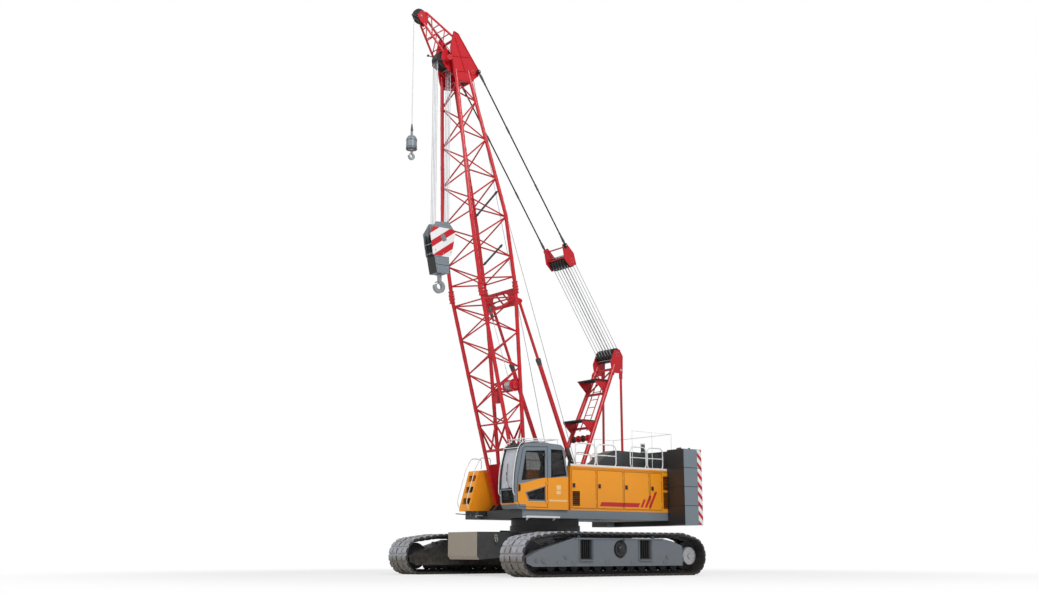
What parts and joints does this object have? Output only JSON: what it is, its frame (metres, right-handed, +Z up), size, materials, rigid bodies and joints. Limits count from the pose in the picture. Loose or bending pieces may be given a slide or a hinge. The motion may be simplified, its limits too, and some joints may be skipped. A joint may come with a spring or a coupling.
{
  "type": "crawler crane with lattice boom",
  "caption": "Crawler crane with a slewing upper, lattice boom, gantry, main and auxiliary hooks; the boom luffs and its ropes, bridle and backstops follow.",
  "frame": {"origin": "on the ground under the slewing axis", "axes": "+X forward towards the boom, +Y to the operator side, the left, +Z up"},
  "size_m": [10.52, 7.38, 18.332],
  "materials": {
    "charcoal": "matt paint",
    "glass": "tinted glass",
    "hook_steel": "forged steel",
    "orange": "satin paint",
    "pendant_rope": "greased wire rope",
    "red": "satin paint",
    "roller_steel": "oiled cast steel",
    "rope": "steel wire rope",
    "sheave_black": "moulded nylon",
    "shoe_steel": "worn cast steel",
    "slate": "satin paint",
    "trim_black": "moulded",
    "white": "satin paint"
  },
  "bodies": {
    "undercarriage": {"carbody": "charcoal", "carbody_ballast": "charcoal", "track_frame_left": "slate", "track_frame_right": "slate", "track_left": "shoe_steel", "track_right": "shoe_steel", "track_wheels": "roller_steel", "track_tensioners": "slate", "side_frame_pin_units": "charcoal"},
    "superstructure": {"turntable": "slate", "left_house": "orange", "right_house": "orange", "engine": "charcoal", "engine_hood": "charcoal", "access_steps": "orange", "handrails": "white", "counterweight_slab_1": "slate", "counterweight_slab_2": "slate", "counterweight_slab_3": "slate", "counterweight_slab_4": "slate", "cab_shell": "slate", "cab_glass": "glass", "operator_seat": "trim_black", "control_consoles": "trim_black", "cab_roof_rails": "white", "gantry": "red", "gantry_platforms": "trim_black"},
    "cab_door": {"cab_door": "orange", "door_glass": "glass"},
    "boom": {"boom_foot_section": "red", "boom_top_section": "red", "tip_jib": "red"},
    "main_sheaves": {"main_sheaves": "sheave_black"},
    "guide_sheaves": {"guide_sheaves": "sheave_black"},
    "tip_sheave": {"tip_sheave": "sheave_black"},
    "main_block": {"main_block": "white", "main_hoist_falls": "rope"},
    "block_sheaves": {"block_sheaves": "sheave_black"},
    "main_hook": {"main_hook": "hook_steel"},
    "auxiliary_weight": {"auxiliary_weight": "slate", "auxiliary_hoist_rope": "rope"},
    "auxiliary_hook": {"auxiliary_hook": "hook_steel"},
    "bridle": {"bridle": "red", "pendants": "pendant_rope"},
    "bridle_sheaves": {"bridle_sheaves": "sheave_black"},
    "hoist_ropes": {"hoist_ropes": "rope"},
    "luffing_ropes": {"luffing_ropes": "rope"},
    "gantry_sheaves": {"gantry_sheaves": "sheave_black"},
    "backstop_tubes": {"backstop_tubes": "red"},
    "backstop_rods": {"backstop_rods": "red"},
    "main_winch_drum": {"main_winch_drum": "slate"},
    "auxiliary_winch_drum": {"auxiliary_winch_drum": "slate"},
    "luffing_winch_drum": {"luffing_winch_drum": "slate"},
    "left_service_door_1": {"left_service_door_1": "orange"},
    "left_service_door_2": {"left_service_door_2": "orange"},
    "left_service_door_3": {"left_service_door_3": "orange"},
    "left_service_door_4": {"left_service_door_4": "orange"},
    "right_service_door_1": {"right_service_door_1": "orange"},
    "right_service_door_2": {"right_service_door_2": "orange"},
    "right_service_door_3": {"right_service_door_3": "orange"}
  },
  "joints": [
    {"name": "slewing", "type": "hinge", "parent": "undercarriage", "child": "superstructure", "pos_m": [0, 0, 1.56], "axis": [0, 0, 1], "continuous": true},
    {"name": "boom_luffing", "type": "hinge", "parent": "superstructure", "child": "boom", "pos_m": [1.36, 0, 2.1], "axis": [0, 1, 0], "range_deg": [0, 50.5]},
    {"name": "cab_door_hinge", "type": "hinge", "parent": "superstructure", "child": "cab_door", "pos_m": [1.14, 1.64, 3], "axis": [0, 0, 1], "range_deg": [0, 90]},
    {"name": "left_service_door_1_hinge", "type": "hinge", "parent": "superstructure", "child": "left_service_door_1", "pos_m": [-0.909, 1.56, 2.7], "axis": [0, 0, 1], "range_deg": [0, 90]},
    {"name": "left_service_door_2_hinge", "type": "hinge", "parent": "superstructure", "child": "left_service_door_2", "pos_m": [-2.079, 1.56, 2.7], "axis": [0, 0, 1], "range_deg": [0, 90]},
    {"name": "left_service_door_3_hinge", "type": "hinge", "parent": "superstructure", "child": "left_service_door_3", "pos_m": [-3.249, 1.56, 2.7], "axis": [0, 0, 1], "range_deg": [0, 90]},
    {"name": "left_service_door_4_hinge", "type": "hinge", "parent": "superstructure", "child": "left_service_door_4", "pos_m": [-3.829, 1.56, 2.7], "axis": [0, 0, 1], "range_deg": [0, 90]},
    {"name": "right_service_door_1_hinge", "type": "hinge", "parent": "superstructure", "child": "right_service_door_1", "pos_m": [-0.579, -1.56, 2.7], "axis": [0, 0, -1], "range_deg": [0, 90]},
    {"name": "right_service_door_2_hinge", "type": "hinge", "parent": "superstructure", "child": "right_service_door_2", "pos_m": [-2.209, -1.56, 2.7], "axis": [0, 0, -1], "range_deg": [0, 90]},
    {"name": "right_service_door_3_hinge", "type": "hinge", "parent": "superstructure", "child": "right_service_door_3", "pos_m": [-3.829, -1.56, 2.7], "axis": [0, 0, -1], "range_deg": [0, 90]},
    {"name": "main_block_swing", "type": "hinge", "parent": "boom", "child": "main_block", "pos_m": [4.27, 0, 16.72], "axis": [0, 1, 0], "range_deg": [-50.5, 0]},
    {"name": "main_hook_swivel", "type": "hinge", "parent": "main_block", "child": "main_hook", "pos_m": [4.27, 0, 9.5], "axis": [0, 0, 1], "continuous": true},
    {"name": "block_sheaves_spin", "type": "hinge", "parent": "main_block", "child": "block_sheaves", "pos_m": [4.27, 0, 10.6], "axis": [0, 1, 0], "continuous": true},
    {"name": "auxiliary_weight_swing", "type": "hinge", "parent": "boom", "child": "auxiliary_weight", "pos_m": [5.175, 0, 18.07], "axis": [0, 1, 0], "range_deg": [-50.5, 0]},
    {"name": "auxiliary_hook_swivel", "type": "hinge", "parent": "auxiliary_weight", "child": "auxiliary_hook", "pos_m": [5.395, 0, 13.4], "axis": [0, 0, 1], "continuous": true},
    {"name": "main_sheaves_spin", "type": "hinge", "parent": "boom", "child": "main_sheaves", "pos_m": [4.27, 0, 16.72], "axis": [0, 1, 0], "continuous": true},
    {"name": "guide_sheaves_spin", "type": "hinge", "parent": "boom", "child": "guide_sheaves", "pos_m": [3.35, 0, 16.41], "axis": [0, 1, 0], "continuous": true},
    {"name": "tip_sheave_spin", "type": "hinge", "parent": "boom", "child": "tip_sheave", "pos_m": [5.175, 0, 18.07], "axis": [0, 1, 0], "continuous": true},
    {"name": "pendant_swing", "type": "hinge", "parent": "boom", "child": "bridle", "pos_m": [3.17, 0, 16.44], "axis": [0, 1, 0], "range_deg": [-1.01, 0]},
    {"name": "bridle_sheaves_spin", "type": "hinge", "parent": "bridle", "child": "bridle_sheaves", "pos_m": [-0.83, 0, 10.55], "axis": [0, 1, 0], "continuous": true},
    {"name": "hoist_rope_swing", "type": "hinge", "parent": "boom", "child": "hoist_ropes", "pos_m": [3.35, 0, 16.41], "axis": [0, 1, 0], "range_deg": [-1.72, 0]},
    {"name": "luffing_rope_swing", "type": "hinge", "parent": "superstructure", "child": "luffing_ropes", "pos_m": [-2.88, 0, 7.48], "axis": [0, 1, 0], "range_deg": [0, 48.48]},
    {"name": "gantry_sheaves_spin", "type": "hinge", "parent": "superstructure", "child": "gantry_sheaves", "pos_m": [-2.88, 0, 7.48], "axis": [0, 1, 0], "continuous": true},
    {"name": "backstop_swing", "type": "hinge", "parent": "superstructure", "child": "backstop_tubes", "pos_m": [-0.52, 0, 3.66], "axis": [0, 1, 0], "range_deg": [0, 48.23]},
    {"name": "backstop_stroke", "type": "slide", "parent": "backstop_tubes", "child": "backstop_rods", "axis": [0.3838, 0, 0.9234], "range_m": [0, 2.0718]},
    {"name": "main_winch_spin", "type": "hinge", "parent": "superstructure", "child": "main_winch_drum", "pos_m": [-0.6, 0, 2.74], "axis": [0, 1, 0], "continuous": true},
    {"name": "auxiliary_winch_spin", "type": "hinge", "parent": "superstructure", "child": "auxiliary_winch_drum", "pos_m": [-2.05, 0, 2.74], "axis": [0, 1, 0], "continuous": true},
    {"name": "luffing_winch_spin", "type": "hinge", "parent": "superstructure", "child": "luffing_winch_drum", "pos_m": [-3.6, 0, 2.74], "axis": [0, 1, 0], "continuous": true}
  ],
  "couplings": [
    {"joint": "main_block_swing", "follows": "boom_luffing", "ratio": -1},
    {"joint": "auxiliary_weight_swing", "follows": "boom_luffing", "ratio": -1},
    {"joint": "pendant_swing", "follows": "boom_luffing", "ratio": -0.02},
    {"joint": "hoist_rope_swing", "follows": "boom_luffing", "ratio": -0.034},
    {"joint": "luffing_rope_swing", "follows": "boom_luffing", "ratio": 0.96},
    {"joint": "backstop_swing", "follows": "boom_luffing", "ratio": 0.955},
    {"joint": "backstop_stroke", "follows": "boom_luffing", "m_per_rad": 2.35}
  ]
}
